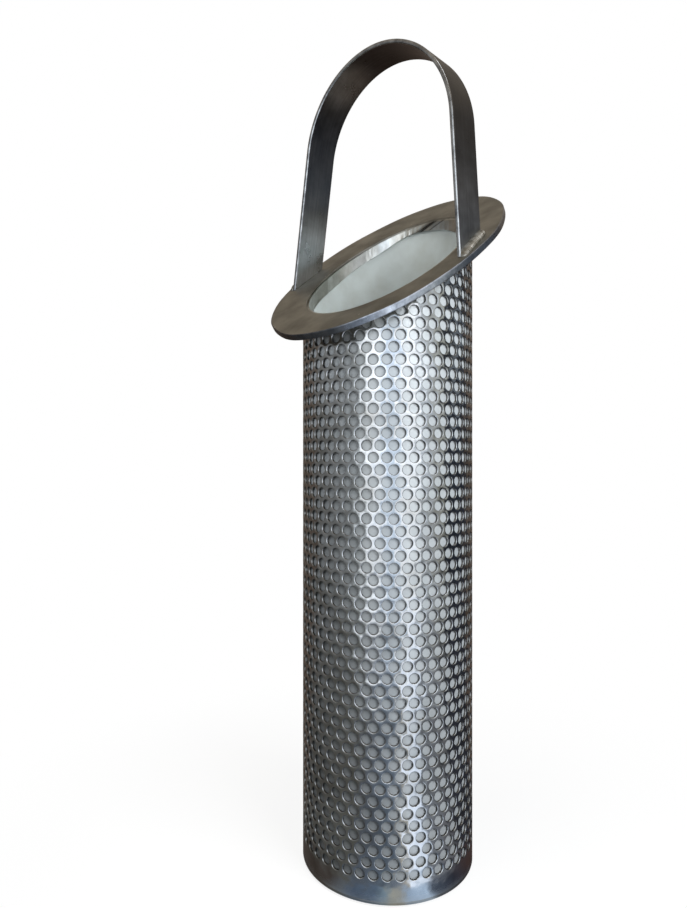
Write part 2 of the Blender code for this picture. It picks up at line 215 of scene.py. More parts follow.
def worn_metal(name, wear, stops, roughness, relief):
    """A metal that one fine noise both colours and roughens."""
    material, tree, shader, spot = new_material(name)
    noise = add_node(tree, "ShaderNodeTexNoise", (), wear, {"Vector": spot})
    tint = add_node(tree, "ShaderNodeValToRGB", (), (), {"Fac": noise}, stops)
    bump = add_node(tree, "ShaderNodeBump", (), relief, {"Height": noise})
    connect(tree, shader, {"Base Color": tint, "Normal": bump})
    shader.inputs["Roughness"].default_value = roughness
    return material


def punched_wall_metal():
    """The sheared inside of a punched hole, which no polish reaches: duller, with painted shade that
    makes it darker, and with the punch's fine drag marks through the thickness."""
    # a dark colour: painted shade for the inside of each hole
    return worn_metal("sheared_hole_wall", {"Scale": 700.0, "Detail": 2.0},
                      [(0.35, "#54514E"), (0.7, "#807E7A")], 0.3, {"Strength": 0.4, "Distance": 0.00008})


def tube_hex(tube):
    """The sheet's own colour, as the hex value that a ramp's stop takes."""
    encoded = [12.92 * c if c <= 0.0031308 else 1.055 * c ** (1.0 / 2.4) - 0.055 for c in tube.sheet_colour]
    return "#" + "".join(f"{round(255.0 * c):02X}" for c in encoded)


def woven_cloth_metal(tube):
    """Fine stainless wire cloth: its outer face rolled smooth and half bright, its inner face dull.
    Its inner face is painted a paler level than its outer face, as painted light for how each face
    is lit, and its outer face has painted shade where the strip in the mouth lies behind it, for the
    light from inside that the strip keeps out. The real cloth has about 0.4 mm from wire to wire, and
    is drawn at 0.9 mm so that it shows."""
    material, tree, shader, spot = new_material("woven_wire_cloth")
    flat = unrolled(tree, spot, 1111.0, 1111.0)
    split = add_node(tree, "ShaderNodeSeparateXYZ", (), (), {"Vector": flat})
    waves = []
    for axis in ("X", "Y"):
        turned = add_node(tree, "ShaderNodeMath", TIMES, {1: 2.0 * math.pi}, {0: split.outputs[axis]})
        waves.append(add_node(tree, "ShaderNodeMath", {"operation": "SINE"}, (), {0: turned}))
    weave = add_node(tree, "ShaderNodeMath", TIMES, (), {0: waves[0], 1: waves[1]})
    patches = add_node(tree, "ShaderNodeTexNoise", (), {"Scale": 60.0, "Detail": 3.0, "Roughness": 0.55},
                       {"Vector": spot})
    # the inner face's colour, a paler level than the outer face's: painted light for how the inside is lit,
    # over a random tone
    used = add_node(tree, "ShaderNodeValToRGB", (), (), {"Fac": patches},
                    [(0.3, "#B3B7B1"), (0.45, "#B9BFBB"), (0.65, "#C1C8C5")])
    clean = add_node(tree, "ShaderNodeValToRGB", (), (), {"Fac": patches},
                     [(0.3, "#A7ACAE"), (0.65, "#B6BBBD")])
    # painted shade on the outer face where the strip in the mouth lies behind it, down to 0.3 of its colour
    backed = add_node(tree, "ShaderNodeMapRange", (),
                      {"From Min": 0.0100, "From Max": 0.0112, "To Min": 0.3, "To Max": 1.0},
                      {"Value": depth_in_mouth(tree, spot, tube)})
    shaded = add_node(tree, "ShaderNodeMix", COLOUR_TIMES, {0: 1.0}, {6: clean, 7: backed})
    facing = add_node(tree, "ShaderNodeNewGeometry")
    outward = add_node(tree, "ShaderNodeVectorMath", {"operation": "DOT_PRODUCT"}, (),
                       {0: facing.outputs["Normal"], 1: spot})
    outside = add_node(tree, "ShaderNodeMath", {"operation": "GREATER_THAN"}, {1: 0.0},
                       {0: outward.outputs["Value"]})
    stain = add_node(tree, "ShaderNodeMix", COLOUR_MIX, (), {0: outside, 6: used, 7: shaded.outputs[2]})
    shade = add_node(tree, "ShaderNodeMapRange", (),
                     {"From Min": -1.0, "From Max": 1.0, "To Min": 0.9, "To Max": 1.0}, {"Value": weave})
    colour = add_node(tree, "ShaderNodeMix", COLOUR_TIMES, {0: 1.0}, {6: stain.outputs[2], 7: shade})
    for socket, inner, outer in (("Metallic", 0.1, 0.3), ("Roughness", 0.55, 0.2)):
        share = add_node(tree, "ShaderNodeMapRange", (), {"To Min": inner, "To Max": outer},
                         {"Value": outside})
        connect(tree, shader, {socket: share})
    bump = add_node(tree, "ShaderNodeBump", (), {"Strength": 0.3, "Distance": 0.00004}, {"Height": weave})
    connect(tree, shader, {"Base Color": colour.outputs[2], "Normal": bump})
    return material


def pickled_plate_metal(name, colour, deep):
    """Hot rolled stainless plate, pickled and lightly ground: a satin grey that heat and handling
    have browned in soft patches, with a fine grain and a few bright specks."""
    material, tree, shader, spot = new_material(name)
    patches = add_node(tree, "ShaderNodeTexNoise", (), {"Scale": 45.0, "Detail": 5.0, "Roughness": 0.6},
                       {"Vector": spot})
    grain = add_node(tree, "ShaderNodeTexNoise", (), {"Scale": 900.0, "Detail": 2.0}, {"Vector": spot})
    specks = add_node(tree, "ShaderNodeTexVoronoi", (), {"Scale": 70.0}, {"Vector": spot})
    fleck = add_node(tree, "ShaderNodeMapRange", (),
                     {"From Min": 0.05, "From Max": 0.035, "To Min": 0.0, "To Max": 1.0},
                     {"Value": specks})
    tint = add_node(tree, "ShaderNodeValToRGB", (), (), {"Fac": patches}, [(0.3, deep), (0.7, colour)])
    speckled = add_node(tree, "ShaderNodeMix", COLOUR_MIX, {7: opaque("#D8D6D0")}, {0: fleck, 6: tint})
    matt = add_node(tree, "ShaderNodeMapRange", (),
                    {"From Min": 0.3, "From Max": 0.7, "To Min": 0.5, "To Max": 0.38}, {"Value": patches})
    bump = add_node(tree, "ShaderNodeBump", (), {"Strength": 0.25, "Distance": 0.00005}, {"Height": grain})
    connect(tree, shader, {"Base Color": speckled.outputs[2], "Roughness": matt, "Normal": bump})
    return material


def ground_edge_metal():
    """The turned edge of the ring, ground by hand: bluish, with short marks across it, and a painted
    highlight round its front with painted shade round its -X side."""
    material, tree, shader, spot = new_material("ground_stainless_edge")
    marks = add_node(tree, "ShaderNodeTexNoise", (), {"Scale": 160.0, "Detail": 4.0, "Roughness": 0.7},
                     {"Vector": spot})
    tint = add_node(tree, "ShaderNodeValToRGB", (), (), {"Fac": marks},
                    [(0.35, "#A2A9B2"), (0.65, "#DEE5EE")])
    turn = add_node(tree, "ShaderNodeTexGradient", RADIAL, (), {"Vector": spot})
    # painted highlight and shade by the turn round the ring: white round its front, dark round its -X side
    dressed = add_node(tree, "ShaderNodeValToRGB", (), (), {"Fac": turn.outputs["Fac"]},
                       [(0.2, "#77767A"), (0.27, "#9C9DA2"), (0.32, "#E0E2E6"), (0.36, "#FFFFFF"),
                        (0.42, "#F0F2F6"), (0.47, "#B4B5BA"), (0.6, "#D0CCC8")])
    patchy = add_node(tree, "ShaderNodeMix", COLOUR_TIMES, {0: 1.0}, {6: tint, 7: dressed})
    matt = add_node(tree, "ShaderNodeMapRange", (),
                    {"From Min": 0.3, "From Max": 0.7, "To Min": 0.42, "To Max": 0.24}, {"Value": marks})
    bump = add_node(tree, "ShaderNodeBump", (), {"Strength": 0.6, "Distance": 0.0003}, {"Height": marks})
    connect(tree, shader, {"Base Color": patchy.outputs[2], "Roughness": matt, "Normal": bump})
    return material


def rubbed_edge_metal():
    """The bar's long edges, rubbed bright by handling: pale and smoother than its mill finish."""
    return worn_metal("rubbed_bar_edge", {"Scale": 140.0, "Detail": 4.0, "Roughness": 0.65},
                      [(0.35, "#85878A"), (0.6, "#C4C7CA")], 0.2, {"Strength": 0.4, "Distance": 0.0001})


def strap_metal():
    """Cold rolled flat bar with its mill finish: long soft streaks along the bar and scuffs from the
    bending, under a painted reflection that is a pale bluish grey on the legs and darker and browner
    over the arch, with painted shade on the right leg and one spot painted brighter on the arch's left
    shoulder."""
    material, tree, shader, spot = new_material("mill_finish_flat_bar")
    flat = add_node(tree, "ShaderNodeUVMap", {"uv_map": "bar"})
    long_way = add_node(tree, "ShaderNodeMapping", (), {"Scale": (18.0, 900.0, 1.0)}, {"Vector": flat})
    streaks = add_node(tree, "ShaderNodeTexNoise", {"noise_dimensions": "2D"},
                       {"Scale": 1.0, "Detail": 4.0, "Roughness": 0.6}, {"Vector": long_way})
    scuffs = add_node(tree, "ShaderNodeTexNoise", (), {"Scale": 55.0, "Detail": 5.0, "Roughness": 0.65},
                      {"Vector": spot})
    split = add_node(tree, "ShaderNodeSeparateXYZ", (), (), {"Vector": spot})
    high = add_node(tree, "ShaderNodeMapRange", (), {"From Min": 0.36, "From Max": 0.53},
                    {"Value": split.outputs["Z"]})
    # painted reflection by height: pale bluish grey low on the legs, darker and browner over the arch
    by_height = add_node(tree, "ShaderNodeValToRGB", (), (), {"Fac": high},
                         [(0.0, "#E2E8EE"), (0.14, "#DCE2E8"), (0.3, "#D6DBE1"), (0.43, "#93979D"),
                          (0.65, "#6F6F72"), (0.76, "#68676A"), (0.88, "#76706F"), (0.93, "#5A5352"),
                          (1.0, "#544C4B")])
    # one spot on the arch's left shoulder, painted up to 2.4 times brighter
    scuff_away = add_node(tree, "ShaderNodeVectorMath", {"operation": "DISTANCE"}, {1: SCUFF_PLACE},
                          {0: spot})
    scuff = add_node(tree, "ShaderNodeMapRange", SMOOTH,
                     {"From Min": 0.007, "From Max": 0.021, "To Min": 2.4, "To Max": 1.0},
                     {"Value": scuff_away.outputs["Value"]})
    # painted shade that darkens the right leg down to 0.55 of its colour
    right_end = add_node(tree, "ShaderNodeMapRange", SMOOTH,
                         {"From Min": 0.02, "From Max": 0.055, "To Min": 1.0, "To Max": 0.55},
                         {"Value": split.outputs["X"]})
    ends = add_node(tree, "ShaderNodeMath", TIMES, (), {0: scuff, 1: right_end})
    worn = add_node(tree, "ShaderNodeMapRange", (),
                    {"From Min": 0.3, "From Max": 0.7, "To Min": 0.68, "To Max": 1.05}, {"Value": scuffs})
    lines = add_node(tree, "ShaderNodeMapRange", (),
                     {"From Min": 0.3, "From Max": 0.7, "To Min": 0.8, "To Max": 1.05},
                     {"Value": streaks})
    both = add_node(tree, "ShaderNodeMath", TIMES, (), {0: worn, 1: lines})
    all_wear = add_node(tree, "ShaderNodeMath", TIMES, (), {0: both, 1: ends})
    tint = add_node(tree, "ShaderNodeMix", COLOUR_TIMES, {0: 1.0}, {6: by_height, 7: all_wear})
    matt = add_node(tree, "ShaderNodeMapRange", (),
                    {"From Min": 0.3, "From Max": 0.7, "To Min": 0.24, "To Max": 0.42}, {"Value": scuffs})
    bump = add_node(tree, "ShaderNodeBump", (), {"Strength": 0.2, "Distance": 0.00004}, {"Height": streaks})
    connect(tree, shader, {"Base Color": tint.outputs[2], "Roughness": matt, "Normal": bump})
    return material


def hammered_strip_metal(tube):
    """Thin stainless strip, brushed and then dressed in place with a hammer: light, with dull dents
    side by side, and soot and painted shadow in thin slanted lines beside its joint."""
    material, tree, shader, spot = new_material("hammered_stainless_strip")
    dents = add_node(tree, "ShaderNodeTexNoise", {"noise_dimensions": "2D"}, {"Scale": 1.0, "Detail": 2.0},
                     {"Vector": unrolled(tree, spot, 260.0, 60.0)})
    stains = add_node(tree, "ShaderNodeTexNoise", (), {"Scale": 90.0, "Detail": 4.0, "Roughness": 0.6},
                      {"Vector": spot})
    tint = add_node(tree, "ShaderNodeValToRGB", (), (), {"Fac": stains},
                    [(0.35, "#C4C5C0"), (0.7, "#EEF0ED")])
    turn = add_node(tree, "ShaderNodeTexGradient", RADIAL, (), {"Vector": spot})
    slanted = add_node(tree, "ShaderNodeMath", {"operation": "MULTIPLY_ADD"}, {1: -JOINT_SLANT},
                       {0: depth_in_mouth(tree, spot, tube), 2: turn.outputs["Fac"]})
    ragged = add_node(tree, "ShaderNodeMath", {"operation": "MULTIPLY_ADD"}, {1: 0.008},
                      {0: stains, 2: slanted})
    # thin dark slanted lines beside the joint: soot, and painted shadow of the strip's end
    soot = add_node(tree, "ShaderNodeValToRGB", (), (), {"Fac": ragged},
                    [(0.70, "#E2E0DC"), (0.706, "#6C6864"), (0.711, "#C8C5C0"), (0.722, "#D0CDC8"),
                     (0.729, "#5E5A57"), (0.738, "#55524F"), (0.745, "#A8A49F"), (0.76, "#FFFFFF")])
    sooty = add_node(tree, "ShaderNodeMix", COLOUR_TIMES, {0: 1.0}, {6: tint, 7: soot})
    shader.inputs["Roughness"].default_value = 0.3
    bump = add_node(tree, "ShaderNodeBump", (), {"Strength": 0.8, "Distance": 0.0004}, {"Height": dents})
    connect(tree, shader, {"Base Color": sooty.outputs[2], "Normal": bump})
    return material


def weld_metal():
    """Stainless weld laid by hand and brushed: bright ripples with a straw tint in their hollows."""
    return worn_metal("brushed_stainless_weld", {"Scale": 260.0, "Detail": 3.0},
                      [(0.35, "#908D84"), (0.6, "#C2C2BD")], 0.4, {"Strength": 0.3, "Distance": 0.0001})


def loft(sections, closed=False):
    """Corners and faces of a skin over a row of closed sections, joined end to end or capped."""
    size = len(sections[0])
    corners = [corner for section in sections for corner in section]
    faces = []
    spans = len(sections) if closed else len(sections) - 1
    for span in range(spans):
        here = span * size
        there = ((span + 1) % len(sections)) * size
        for i in range(size):
            j = (i + 1) % size
            faces.append((here + i, here + j, there + j, there + i))
    if not closed:
        faces.append(tuple(reversed(range(size))))
        faces.append(tuple(range(len(corners) - size, len(corners))))
    return corners, faces


def add_piece(name, corners, faces, material, node, sharp_degrees=40.0):
    """A finished piece on the root body that stands for one CAD node."""
    mesh = bpy.data.meshes.new(name)
    mesh.from_pydata([tuple(corner) for corner in corners], [], faces)
    shape = bmesh.new()
    shape.from_mesh(mesh)
    bmesh.ops.recalc_face_normals(shape, faces=shape.faces)
    if shape.calc_volume(signed=True) < 0.0:
        bmesh.ops.reverse_faces(shape, faces=shape.faces)
    shape.to_mesh(mesh)
    shape.free()
    mesh.materials.append(material)
    mesh.shade_smooth()
    mesh.set_sharp_from_angle(angle=math.radians(sharp_degrees))
    piece = bpy.data.objects.new(name, mesh)
    bpy.context.scene.collection.objects.link(piece)
    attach(piece, "root")
    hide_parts(node)
    return piece


def wall_rows(thickness, rows):
    """Round a thin wall's section, depth and row: along its outer face and back along its inner one."""
    return [(0.0, row) for row in range(rows + 1)] + [(thickness, row) for row in range(rows, -1, -1)]


def second_finish(piece, material, girth, places):
    """Gives the faces at these places round each section of a loft another material."""
    piece.data.materials.append(material)
    for polygon in piece.data.polygons:
        if len(polygon.vertices) == 4 and polygon.index % girth in places:
            polygon.material_index = 1


def soften(piece):
    """Normals weighted by face size, so that flat faces stay flat beside their rounded edges."""
    weighted = piece.modifiers.new("Weighted normals", "WEIGHTED_NORMAL")
    weighted.keep_sharp = True
    return piece


def hole_circle(x, z, radius, sides):
    turns = [2.0 * math.pi * (i + 0.5) / sides for i in range(sides)]
    return [Vector((x + radius * math.cos(turn), z + radius * math.sin(turn))) for turn in turns]


def fill_flat(outline, circles):
    """Triangles of a flat sheet between its outline and its holes, and where each corner came from."""
    points = list(outline)
    loops = [list(range(len(outline)))]
    for circle in circles:
        loops.append(list(range(len(points), len(points) + len(circle))))
        points += circle
    filled = delaunay_2d_cdt(points, [], loops, 1, 0.0000001, True)
    faces = [face for face, owners in zip(filled[2], filled[5]) if owners == [0]]
    return filled[0], faces


def spot_key(point):
    return (round(point[0] * 10000000.0), round(point[1] * 10000000.0))


class FlatSheet:
    """The perforated sheet laid out flat: x along it from the seam, z up, out through its thickness."""

    def __init__(self):
        self.spots = []
        self.faces = []
        self.normals = []
        self.finishes = []

    def add_spot(self, x, z, out):
        self.spots.append((x, z, out))
        return len(self.spots) - 1

    def add_face(self, corners, normals, finish=0):
        self.faces.append(corners)
        self.normals.append(normals)
        self.finishes.append(finish)


def lay_out_holes(tube, top_at, length):
    """Centres of the holes: those clear of the ring, and those that its underside cuts or touches."""
    pitch = length / tube.holes_around
    radius = tube.hole_diameter / 2.0
    test_sides = 24
    least_margin = 0.0003
    least_bite = 0.0004
    clear = []
    cut = []
    row = 0
    while tube.first_row + row * tube.row_spacing < ring_plane(tube, TUBE_OUTER) + radius:
        z = tube.first_row + row * tube.row_spacing
        for column in range(tube.holes_around):
            x = (column + (0.5 if row % 2 == 0 else 0.0)) * pitch
            if x < pitch / 4.0:
                continue
            rim = hole_circle(x, z, radius + tube.rim_roll, test_sides)
            edge = hole_circle(x, z, radius, test_sides)
            if all(top_at(point.x) - point.y > least_margin for point in rim):
                clear.append((x, z))
            elif any(top_at(point.x) - point.y > least_bite for point in edge):
                cut.append((x, z))
        row += 1
    return clear, cut


def perforated_sheet(tube, polished, sheared):
    """Sheet with every hole, its rim rolled over by the punch, then rolled to a tube."""
    sides = tube.hole_sides
    radius = tube.hole_diameter / 2.0
    middle = TUBE_OUTER - tube.sheet_thickness / 2.0
    length = 2.0 * math.pi * middle
    half = tube.sheet_thickness / 2.0

    def angle_at(x):
        return tube.seam_azimuth + x / middle

    def top_at(x):
        return ring_plane(tube, middle * math.sin(angle_at(x)), tube.ring_thickness)

    columns = [SEAM_GAP / 2.0 + (length - SEAM_GAP) * i / FINE_STEPS for i in range(FINE_STEPS + 1)]
    outline = [Vector((x, PLATE_THICKNESS)) for x in columns]
    outline += [Vector((x, top_at(x))) for x in reversed(columns)]
    clear, cut = lay_out_holes(tube, top_at, length)
    edges = [hole_circle(x, z, radius, sides) for x, z in clear]
    rims = [hole_circle(x, z, radius + tube.rim_roll, sides) for x, z in clear]
    plain = [hole_circle(x, z, radius, sides) for x, z in cut]

    crown = {}
    for (x, z), rim in zip(clear, rims):
        for point in rim:
            inward = Vector((x - point.x, z - point.y)).normalized() * math.sin(tube.web_crown)
            crown[spot_key(point)] = Vector((inward.x, inward.y, math.cos(tube.web_crown)))

    sheet = FlatSheet()
    found = []
    for circles, out in ((rims, half), (edges, -half)):
        points, triangles = fill_flat(outline, circles + plain)
        side = Vector((0.0, 0.0, 1.0 if out > 0.0 else -1.0))
        numbers = {}
        counts = {}
        for triangle in triangles:
            corners = []
            slopes = []
            for i in triangle:
                key = spot_key(points[i])
                if key not in numbers:
                    numbers[key] = sheet.add_spot(points[i].x, points[i].y, out)
                corners.append(numbers[key])
                slopes.append(crown.get(key, side) if out > 0.0 else side)
            for i in range(3):
                pair = (corners[i], corners[(i + 1) % 3])
                counts[pair] = counts.get(pair, 0) + 1
            if out < 0.0:
                corners.reverse()
            sheet.add_face(tuple(corners), tuple(slopes))
        borders = [pair for pair in counts if (pair[1], pair[0]) not in counts]
        found.append((numbers, borders))

    front, borders = found[0]
    back = found[1][0]
    rolled = {front[spot_key(point)] for rim in rims for point in rim}
    for here, there in borders:
        if here in rolled:
            continue
        a = sheet.spots[here]
        b = sheet.spots[there]
        lower = (back.get(spot_key(a)), back.get(spot_key(b)))
        if None in lower:
            continue
        side = Vector((b[1] - a[1], a[0] - b[0], 0.0)).normalized()
        sheet.add_face((there, here, lower[0], lower[1]), (side, side, side, side), 1)

    lip = math.radians(62.0)
    for (x, z), rim, edge in zip(clear, rims, edges):
        lower = [sheet.add_spot(point.x, point.y, half - 0.8 * tube.rim_roll) for point in edge]
        inward = [Vector((x - point.x, z - point.y, 0.0)).normalized() for point in edge]
        turned = [Vector((v.x * math.sin(lip), v.y * math.sin(lip), math.cos(lip))) for v in inward]
        begun = [crown[spot_key(point)] for point in rim]
        for i in range(sides):
            j = (i + 1) % sides
            upper = (front[spot_key(rim[i])], front[spot_key(rim[j])])
            deep = (back[spot_key(edge[i])], back[spot_key(edge[j])])
            sheet.add_face((upper[0], upper[1], lower[j], lower[i]),
                           (begun[i], begun[j], turned[j], turned[i]))
            walls = (turned[i], turned[j], inward[j], inward[i])
            sheet.add_face((lower[i], lower[j], deep[1], deep[0]), walls, 1)

    corners = []
    rounding = 0.000005
    for x, z, out in sheet.spots:
        angle = angle_at(x)
        corner = round_axis(angle, middle + out, z)
        if abs(z - top_at(x)) < rounding:
            corner.z = ring_plane(tube, corner.y, tube.ring_thickness)
        corners.append(corner)
    mesh = bpy.data.meshes.new("perforated_sheet")
    mesh.from_pydata([tuple(corner) for corner in corners], [], sheet.faces)
    mesh.materials.append(polished)
    mesh.materials.append(sheared)
    mesh.polygons.foreach_set("material_index", sheet.finishes)
    mesh.shade_smooth()
    rolled_normals = []
    for face, normals in zip(sheet.faces, sheet.normals):
        for number, normal in zip(face, normals):
            angle = angle_at(sheet.spots[number][0])
            around = Vector((-math.sin(angle), math.cos(angle), 0.0))
            turned = around * normal.x + round_axis(angle, 1.0) * normal.z
            turned.z = normal.y
            rolled_normals.append(turned.normalized())
    mesh.normals_split_custom_set(rolled_normals)
    piece = bpy.data.objects.new("perforated_sheet", mesh)
    bpy.context.scene.collection.objects.link(piece)
    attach(piece, "root")
    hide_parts("perforated_shell")
    return piece


def seam_bead(tube, material):
    """Weld down the sheet's joint, ground nearly flush, with the faint unevenness of a hand grinder."""
    sections = []
    angle = tube.seam_azimuth
    out = round_axis(angle, 1.0)
    around = Vector((-math.sin(angle), math.cos(angle), 0.0))
    top = ring_plane(tube, (TUBE_OUTER - tube.sheet_thickness) * math.sin(angle), tube.ring_thickness)
    steps = 180
    half_width = 0.0011
    stands_out = 0.00025
    toe = TUBE_OUTER - 0.0001
    root = SEAM_GAP / 2.0
    inside = TUBE_OUTER - tube.sheet_thickness
    for i in range(steps + 1):
        z = PLATE_THICKNESS + (top - PLATE_THICKNESS) * i / steps
        swell = 0.00012 * math.sin(i * 1.9) + 0.00008 * math.sin(i * 0.61)
        half = half_width + swell
        crown = TUBE_OUTER + stands_out + 0.5 * swell
        section = []
        for across, radius in ((-half, toe), (-0.5 * half, crown), (0.0, crown + 0.00006),
                               (0.5 * half, crown), (half, toe), (root, inside), (-root, inside)):
            section.append(out * radius + around * across + Vector((0.0, 0.0, z)))
        sections.append(section)
    corners, faces = loft(sections)
    return add_piece("seam_weld", corners, faces, material, "shell_seam_weld", 50.0)


def foot_plate(material):
    """Disc at the foot, its rim ground flush with the tube."""
    profile = [(0.0, 0.05), (0.00004, 0.35), (0.0003, 0.85), (0.0006, 1.0), (0.0013, 1.0), (0.0018, 0.9)]
    sections = []
    roll = 0.0006
    for height, share in profile + [(PLATE_THICKNESS, 0.8)]:
        radius = TUBE_OUTER - roll * (1.0 - share)
        sections.append([round_axis(2.0 * math.pi * i / FINE_STEPS, radius, height)
                         for i in range(FINE_STEPS)])
    corners, faces = loft(sections)
    return add_piece("foot_plate", corners, faces, material, "bottom_plate", 50.0)


def wire_cloth(tube, material):
    """Woven lining against the inside of the sheet, a little uneven as cloth is."""
    behind = 0.00012
    end_gap = 0.0002
    thickness = 0.0004
    outer = TUBE_OUTER - tube.sheet_thickness - behind
    sections = []
    rows = 40
    for i in range(FINE_STEPS):
        angle = 2.0 * math.pi * i / FINE_STEPS
        high = ring_plane(tube, outer * math.sin(angle), tube.ring_thickness + end_gap)
        section = []
        for face, row in wall_rows(thickness, rows):
            z = PLATE_THICKNESS + end_gap + (high - PLATE_THICKNESS - end_gap) * row / rows
            uneven = math.sin(5.0 * angle + 31.0 * z) * math.sin(2.0 * angle - 47.0 * z)
            section.append(round_axis(angle, outer - face - 0.00006 * (1.0 + uneven), z))
        sections.append(section)
    corners, faces = loft(sections, closed=True)
    return add_piece("wire_cloth", corners, faces, material, "mesh_liner")


def flange_ring(tube, ring, material, edge):
    """Flat ring on the slant, a circle from above, its edges broken with a file, and a lip of weld
    dressed flat into the bore on its far side."""
    radius = TUBE_OUTER + ring.overhang
    bore = TUBE_OUTER - ring.bore_step
    broken = ring.edge_radius
    lean = math.cos(tube.slant)
    uphill = Vector((0.0, lean, math.sin(tube.slant)))
    up = ring_normal(tube)
    centre = Vector((ring.offset_x, ring.offset_y, ring_plane(tube, ring.offset_y)))
    steps = 240
    sections = []
    for i in range(steps):
        angle = 2.0 * math.pi * i / steps
        waver = 0.00022 * math.sin(7.0 * angle + 1.0) + 0.00016 * math.sin(13.0 * angle)
        reach = radius + waver
        across = Vector((reach * math.cos(angle), 0.0, 0.0))
        rim = centre + across + uphill * (reach * math.sin(angle) / lean)
        outward = Vector((math.cos(angle), 0.0, 0.0)) + uphill * (math.sin(angle) * lean)
        outward.normalize()
        section = []
        for step in range(5):
            turn = math.radians(22.5 * step)
            inset = broken * (1.0 - math.sin(turn))
            drop = broken * (1.0 - math.cos(turn))
            section.append(rim - outward * inset - up * drop)
        for step in range(5):
            turn = math.radians(22.5 * step)
            drop = tube.ring_thickness - broken * (1.0 - math.sin(turn))
            section.append(rim - outward * broken * (1.0 - math.cos(turn)) - up * drop)
        lip = ring.bore_lip * bump_at(angle, LIP_DEGREES, 48.0)
        for reach_in, below in ((0.0004, tube.ring_thickness), (0.0, tube.ring_thickness - 0.0004),
                                (0.0, 0.0018), (-lip, 0.0014), (-lip, 0.0005),
                                (0.00015 - lip, 0.00015), (0.0005 - lip, 0.0)):
            corner = round_axis(angle, bore + reach_in)
            corner.z = ring_plane(tube, corner.y, below)
            section.append(corner)
        sections.append(section)
    corners, faces = loft(sections, closed=True)
    piece = add_piece("slanted_ring", corners, faces, material, "flange_ring", 60.0)
    second_finish(piece, edge, len(sections[0]), range(8))
    return soften(piece)


def mouth_band(tube, ring, material):
    """Strip bent round inside the mouth over the cloth's edge, hammered down, its ends on a slant."""
    behind = 0.00055
    thickness = 0.0011
    beside_joint = 0.05         # the share of the way round that the hammer marked most
    lip_drop = 0.0016
    least_drop = 0.0003
    outer = TUBE_OUTER - ring.bore_step - behind
    joint_top = math.radians(83.5)
    joint_foot = math.radians(99.5)
    split = math.radians(1.3)
    steps = 300
    rows = 8
    sections = []
    for i in range(steps + 1):
        share = i / steps
        section = []
        for face, row in wall_rows(thickness, rows):
            fall = row / rows
            first = joint_top + (joint_foot - joint_top) * fall
            angle = first + split / 2.0 + (2.0 * math.pi - split) * share
            near = math.exp(-((min(share, 1.0 - share) / beside_joint) ** 2))
            dent = 0.00012 * math.sin(57.0 * angle) + 0.0003 * near * math.sin(83.0 * angle)
            lower_edge = 0.0004 * math.sin(9.0 * angle) * fall
            depth = ring.band_depth - ring.band_rise * bump_at(angle, 100.0, 32.0)
            depth += ring.band_drop * bump_at(angle, 200.0, 35.0)
            corner = round_axis(angle, outer - face - (dent + 0.0002 * near) * (0.4 + 0.6 * fall))
            start = least_drop + lip_drop * bump_at(angle, LIP_DEGREES, 60.0)
            corner.z = ring_plane(tube, corner.y, least_drop) - start - (depth - start) * fall - lower_edge
            section.append(corner)
        sections.append(section)
    corners, faces = loft(sections)
    return add_piece("mouth_band", corners, faces, material, "retaining_band", 50.0)


def strap_frame(handle, mouth_height):
    """Where the strap's own flat outline stands: x along the tube's X axis, z up, y across it."""
    place = Matrix.Translation((0.0, handle.shift_y, mouth_height))
    turn = Matrix.Rotation(handle.turn, 4, "Z")
    return place @ turn @ Matrix.Rotation(handle.lean, 4, "X")


def strap_outline(handle, steps):
    """The strap's outer face seen along its width: right leg, arch, left leg."""
    def touch(x, z, side):
        px = (x - handle.arch_centre_x) / handle.arch_half_span
        pz = (z - handle.arch_centre_z) / handle.arch_rise
        return math.atan2(pz, px) + side * math.acos(1.0 / math.hypot(px, pz))

    right = Vector((handle.right_foot_x, handle.foot_level))
    left = Vector((handle.left_foot_x, handle.foot_level))
    first = touch(right.x, right.y, 1.0)
    last = touch(left.x, left.y, -1.0)
    if last < 0.0:
        last += 2.0 * math.pi
    arch = []
    for i in range(steps + 1):
        angle = first + (last - first) * i / steps
        arch.append(Vector((handle.arch_centre_x + handle.arch_half_span * math.cos(angle),
                            handle.arch_centre_z + handle.arch_rise * math.sin(angle))))
    legs = 14
    down = [arch[0].lerp(right, 1.0 - i / legs) for i in range(legs)]
    up = [arch[-1].lerp(left, (i + 1) / legs) for i in range(legs)]
    return down + arch + up


def over_ring(tube, point):
    """Height of a point over the ring's upper face, square to it."""
    return (point - Vector((0.0, 0.0, tube.mouth_height))).dot(ring_normal(tube))


def plane_share(tube, start, run, above=0.0):
    """How far along run from start the plane this far above the ring's face is met."""
    return (above - over_ring(tube, start)) / run.dot(ring_normal(tube))


